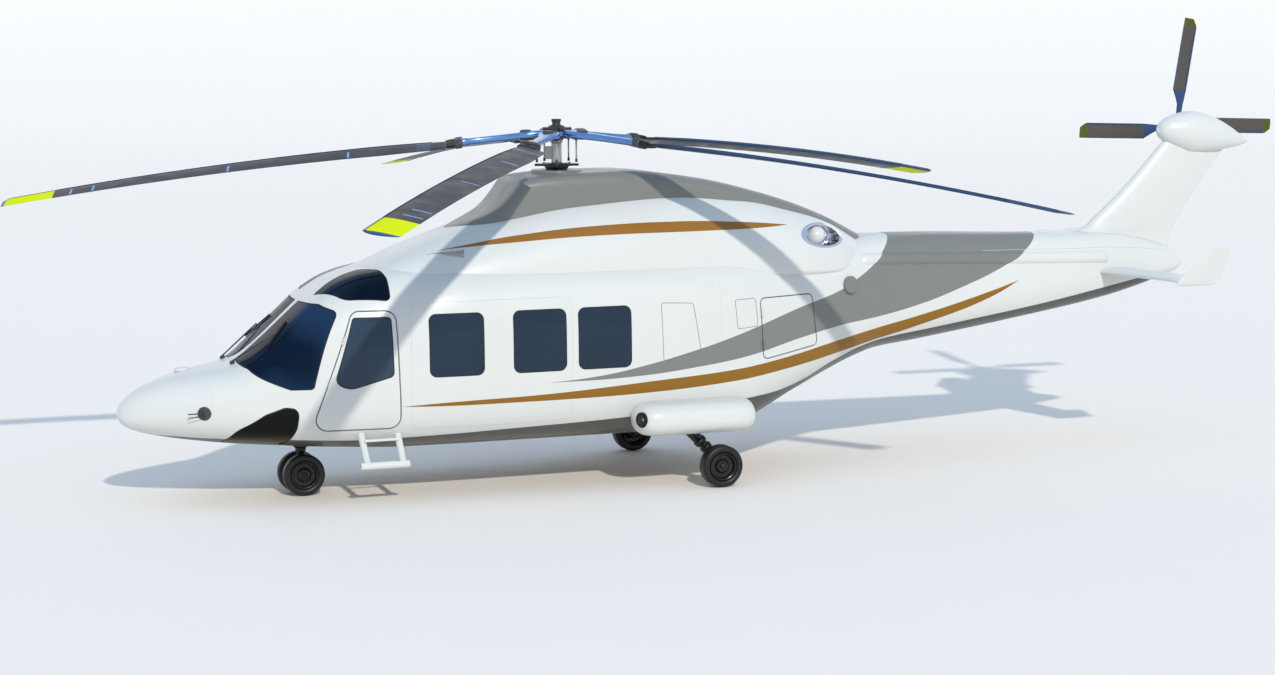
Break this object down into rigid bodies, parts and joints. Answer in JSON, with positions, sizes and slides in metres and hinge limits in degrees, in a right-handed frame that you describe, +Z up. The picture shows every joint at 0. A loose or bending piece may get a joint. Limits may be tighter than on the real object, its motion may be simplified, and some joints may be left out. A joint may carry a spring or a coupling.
{
  "type": "twin-engine utility helicopter",
  "caption": "Five-blade passenger helicopter on wheels: hollow cabin with hinged crew and baggage doors, turning rotors, steered nose wheels.",
  "frame": {"origin": "on the belly plate, right under the main rotor mast", "axes": "+X aft, +Y to the helicopter's right, +Z up along the mast"},
  "size_m": [15.3408, 11.1393, 5.0198],
  "materials": {
    "white_paint": "gloss enamel",
    "composite_white": "gloss-painted composite",
    "grey_composite": "satin-painted composite",
    "floor_panel": "ribbed floor panel",
    "panel_black": "matt",
    "seat_fabric": "woven",
    "gear_black": "satin black paint",
    "tyre_black": "matt rubber",
    "rotor_metal": "blue metallic paint",
    "bright_metal": "polished",
    "blade_composite": "satin paint with yellow tips",
    "window_glass": "dark tinted",
    "step_metal": "gloss enamel"
  },
  "bodies": {
    "airframe": {"nose_fairing": "white_paint", "cabin_shell": "white_paint", "rear_fuselage": "composite_white", "tail_boom": "composite_white", "tail_fin": "composite_white", "tail_gearbox_fairing": "composite_white", "engine_cowling": "composite_white", "mast_fairing": "grey_composite", "cabin_floor": "floor_panel", "instrument_console": "panel_black", "cabin_seats_front": "seat_fabric", "cabin_seats_middle": "seat_fabric", "cabin_seats_rear": "seat_fabric", "nose_gear_leg": "gear_black", "swashplate": "bright_metal", "cabin_door_left": "white_paint", "windshield_left": "window_glass", "roof_window_left": "window_glass", "chin_window_left": "window_glass", "cabin_window_1_left": "window_glass", "cabin_window_2_left": "window_glass", "cabin_window_3_left": "window_glass", "stabilizer_left": "composite_white", "sponson_left": "composite_white", "step_left": "step_metal", "main_gear_leg_left": "gear_black", "exhaust_left": "bright_metal", "pilot_seat_left": "seat_fabric", "cabin_door_right": "white_paint", "windshield_right": "window_glass", "roof_window_right": "window_glass", "chin_window_right": "window_glass", "cabin_window_1_right": "window_glass", "cabin_window_2_right": "window_glass", "cabin_window_3_right": "window_glass", "stabilizer_right": "composite_white", "sponson_right": "composite_white", "step_right": "step_metal", "main_gear_leg_right": "gear_black", "exhaust_right": "bright_metal", "pilot_seat_right": "seat_fabric"},
    "main_rotor": {"main_rotor_hub": "rotor_metal", "main_blade_1": "blade_composite", "main_blade_2": "blade_composite", "main_blade_3": "blade_composite", "main_blade_4": "blade_composite", "main_blade_5": "blade_composite"},
    "tail_rotor_assembly": {"tail_rotor": "blade_composite"},
    "nose_steering": {"nose_fork": "gear_black"},
    "nose_wheel_pair": {"nose_wheels": "tyre_black"},
    "main_wheel_body_left": {"main_wheel_left": "tyre_black"},
    "main_wheel_body_right": {"main_wheel_right": "tyre_black"},
    "crew_door_body_left": {"crew_door_left": "white_paint", "crew_door_window_left": "window_glass"},
    "crew_door_body_right": {"crew_door_right": "white_paint", "crew_door_window_right": "window_glass"},
    "baggage_door_body_left": {"baggage_door_left": "white_paint"},
    "baggage_door_body_right": {"baggage_door_right": "white_paint"}
  },
  "joints": [
    {"name": "main_rotor_spin", "type": "hinge", "parent": "airframe", "child": "main_rotor", "pos_m": [0, 0, 3.32], "axis": [0, 0, 1], "continuous": true},
    {"name": "tail_rotor_spin", "type": "hinge", "parent": "airframe", "child": "tail_rotor_assembly", "pos_m": [8.14, 0.44, 3.175], "axis": [0, 1, 0], "continuous": true},
    {"name": "nose_gear_steer", "type": "hinge", "parent": "airframe", "child": "nose_steering", "pos_m": [-2.95, 0, -0.1], "axis": [0, 0, 1], "range_deg": [-60, 60]},
    {"name": "nose_wheels_spin", "type": "hinge", "parent": "nose_steering", "child": "nose_wheel_pair", "pos_m": [-2.95, 0, -0.275], "axis": [0, 1, 0], "continuous": true},
    {"name": "main_wheel_spin_left", "type": "hinge", "parent": "airframe", "child": "main_wheel_body_left", "pos_m": [1.38, -1.37, -0.27], "axis": [0, 1, 0], "continuous": true},
    {"name": "main_wheel_spin_right", "type": "hinge", "parent": "airframe", "child": "main_wheel_body_right", "pos_m": [1.38, 1.37, -0.27], "axis": [0, 1, 0], "continuous": true},
    {"name": "crew_door_hinge_left", "type": "hinge", "parent": "airframe", "child": "crew_door_body_left", "pos_m": [-3.04218, -0.955, 0.29098], "axis": [-0.3406, 0, -0.9402], "range_deg": [0, 75]},
    {"name": "crew_door_hinge_right", "type": "hinge", "parent": "airframe", "child": "crew_door_body_right", "pos_m": [-3.04218, 0.955, 0.29098], "axis": [0.3406, 0, 0.9402], "range_deg": [0, 75]},
    {"name": "baggage_door_hinge_left", "type": "hinge", "parent": "airframe", "child": "baggage_door_body_left", "pos_m": [2.028, -1.068, 0.82015], "axis": [0.0514, 0, -0.9987], "range_deg": [0, 110]},
    {"name": "baggage_door_hinge_right", "type": "hinge", "parent": "airframe", "child": "baggage_door_body_right", "pos_m": [2.028, 1.068, 0.82015], "axis": [-0.0514, 0, 0.9987], "range_deg": [0, 110]}
  ]
}
